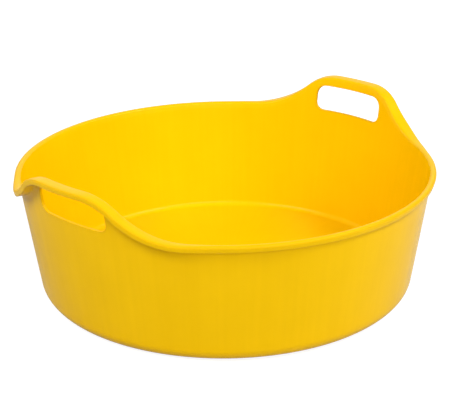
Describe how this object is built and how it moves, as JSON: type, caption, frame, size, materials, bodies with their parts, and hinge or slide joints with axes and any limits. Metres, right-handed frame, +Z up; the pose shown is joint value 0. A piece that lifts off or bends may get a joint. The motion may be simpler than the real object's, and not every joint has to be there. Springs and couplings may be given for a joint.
{
  "type": "flexible feed tub",
  "caption": "Shallow round tub moulded in one piece, with a rolled lip that rises into a grip handle on each side and a hand hole through each handle.",
  "frame": {"origin": "middle of the base, at the height of the foot ring that the tub stands on", "axes": "+Z up; the two handles stand on the X axis, at +X and -X; the low stretches of the rim are at +Y and -Y"},
  "size_m": [0.4506, 0.4262, 0.1643],
  "materials": {
    "moulded_polyethylene": "satin skin of a polished mould, bright yellow"
  },
  "bodies": {
    "root": {"tub": "moulded_polyethylene"}
  },
  "joints": []
}
